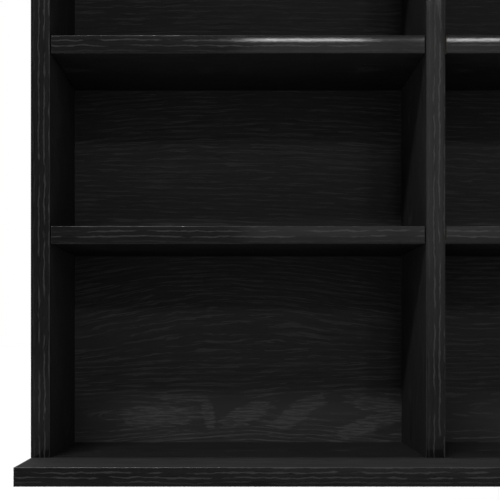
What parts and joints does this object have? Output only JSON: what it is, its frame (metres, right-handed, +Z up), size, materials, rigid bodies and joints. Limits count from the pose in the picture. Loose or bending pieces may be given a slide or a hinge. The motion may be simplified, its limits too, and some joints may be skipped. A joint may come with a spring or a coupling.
{
  "type": "cd cabinet",
  "caption": "Low open cabinet for disc cases: columns of slide-out shelves between black oak-look uprights, on a base board that projects at the front, with grooved-in back panels.",
  "frame": {"origin": "middle of the underside, at floor level", "axes": "+X across the width to the viewer's right, +Y from the front to the rear, +Z up"},
  "size_m": [1.02, 0.23, 0.92],
  "materials": {
    "black_oak_board": "black oak-look laminate on chipboard, satin, fine embossed grain",
    "black_oak_band": "black oak-look edge banding, satin, grain along the strip",
    "black_oak_hardboard": "black oak-look print on the front of thin hardboard, brown fibre behind",
    "beech_dowels": "bare fluted beech",
    "steel_wire": "drawn steel wire, zinc plated",
    "zinc_screws": "bright zinc plate",
    "cam_zinc": "die-cast zinc, matt",
    "bracket_steel": "pressed steel, zinc plated"
  },
  "bodies": {
    "cabinet": {"base_panel": "black_oak_board", "base_front_band": "black_oak_band", "base_left_band": "black_oak_band", "base_right_band": "black_oak_band", "left_side_panel": "black_oak_board", "left_side_band": "black_oak_band", "left_divider": "black_oak_board", "left_divider_band": "black_oak_band", "right_divider": "black_oak_board", "right_divider_band": "black_oak_band", "right_side_panel": "black_oak_board", "right_side_band": "black_oak_band", "top_panel": "black_oak_board", "top_front_band": "black_oak_band", "top_left_band": "black_oak_band", "top_right_band": "black_oak_band", "left_back_panel": "black_oak_hardboard", "middle_back_panel": "black_oak_hardboard", "right_back_panel": "black_oak_hardboard", "shelf_wires_left": "steel_wire", "shelf_wires_middle": "steel_wire", "shelf_wires_right": "steel_wire", "base_screws": "zinc_screws", "base_dowels": "beech_dowels", "top_dowels": "beech_dowels", "cam_bolts": "zinc_screws", "cam_locks": "cam_zinc", "bracket_screws": "zinc_screws", "left_wall_bracket": "bracket_steel", "right_wall_bracket": "bracket_steel"},
    "shelf_left_1_body": {"shelf_left_1": "black_oak_board", "shelf_band_left_1": "black_oak_band"},
    "shelf_left_2_body": {"shelf_left_2": "black_oak_board", "shelf_band_left_2": "black_oak_band"},
    "shelf_left_3_body": {"shelf_left_3": "black_oak_board", "shelf_band_left_3": "black_oak_band"},
    "shelf_left_4_body": {"shelf_left_4": "black_oak_board", "shelf_band_left_4": "black_oak_band"},
    "shelf_middle_1_body": {"shelf_middle_1": "black_oak_board", "shelf_band_middle_1": "black_oak_band"},
    "shelf_middle_2_body": {"shelf_middle_2": "black_oak_board", "shelf_band_middle_2": "black_oak_band"},
    "shelf_middle_3_body": {"shelf_middle_3": "black_oak_board", "shelf_band_middle_3": "black_oak_band"},
    "shelf_middle_4_body": {"shelf_middle_4": "black_oak_board", "shelf_band_middle_4": "black_oak_band"},
    "shelf_right_1_body": {"shelf_right_1": "black_oak_board", "shelf_band_right_1": "black_oak_band"},
    "shelf_right_2_body": {"shelf_right_2": "black_oak_board", "shelf_band_right_2": "black_oak_band"},
    "shelf_right_3_body": {"shelf_right_3": "black_oak_board", "shelf_band_right_3": "black_oak_band"},
    "shelf_right_4_body": {"shelf_right_4": "black_oak_board", "shelf_band_right_4": "black_oak_band"}
  },
  "joints": [
    {"name": "pull_left_1", "type": "slide", "parent": "cabinet", "child": "shelf_left_1_body", "axis": [0, -1, 0], "range_m": [0, 0.22]},
    {"name": "pull_left_2", "type": "slide", "parent": "cabinet", "child": "shelf_left_2_body", "axis": [0, -1, 0], "range_m": [0, 0.22]},
    {"name": "pull_left_3", "type": "slide", "parent": "cabinet", "child": "shelf_left_3_body", "axis": [0, -1, 0], "range_m": [0, 0.22]},
    {"name": "pull_left_4", "type": "slide", "parent": "cabinet", "child": "shelf_left_4_body", "axis": [0, -1, 0], "range_m": [0, 0.22]},
    {"name": "pull_middle_1", "type": "slide", "parent": "cabinet", "child": "shelf_middle_1_body", "axis": [0, -1, 0], "range_m": [0, 0.22]},
    {"name": "pull_middle_2", "type": "slide", "parent": "cabinet", "child": "shelf_middle_2_body", "axis": [0, -1, 0], "range_m": [0, 0.22]},
    {"name": "pull_middle_3", "type": "slide", "parent": "cabinet", "child": "shelf_middle_3_body", "axis": [0, -1, 0], "range_m": [0, 0.22]},
    {"name": "pull_middle_4", "type": "slide", "parent": "cabinet", "child": "shelf_middle_4_body", "axis": [0, -1, 0], "range_m": [0, 0.22]},
    {"name": "pull_right_1", "type": "slide", "parent": "cabinet", "child": "shelf_right_1_body", "axis": [0, -1, 0], "range_m": [0, 0.22]},
    {"name": "pull_right_2", "type": "slide", "parent": "cabinet", "child": "shelf_right_2_body", "axis": [0, -1, 0], "range_m": [0, 0.22]},
    {"name": "pull_right_3", "type": "slide", "parent": "cabinet", "child": "shelf_right_3_body", "axis": [0, -1, 0], "range_m": [0, 0.22]},
    {"name": "pull_right_4", "type": "slide", "parent": "cabinet", "child": "shelf_right_4_body", "axis": [0, -1, 0], "range_m": [0, 0.22]}
  ]
}
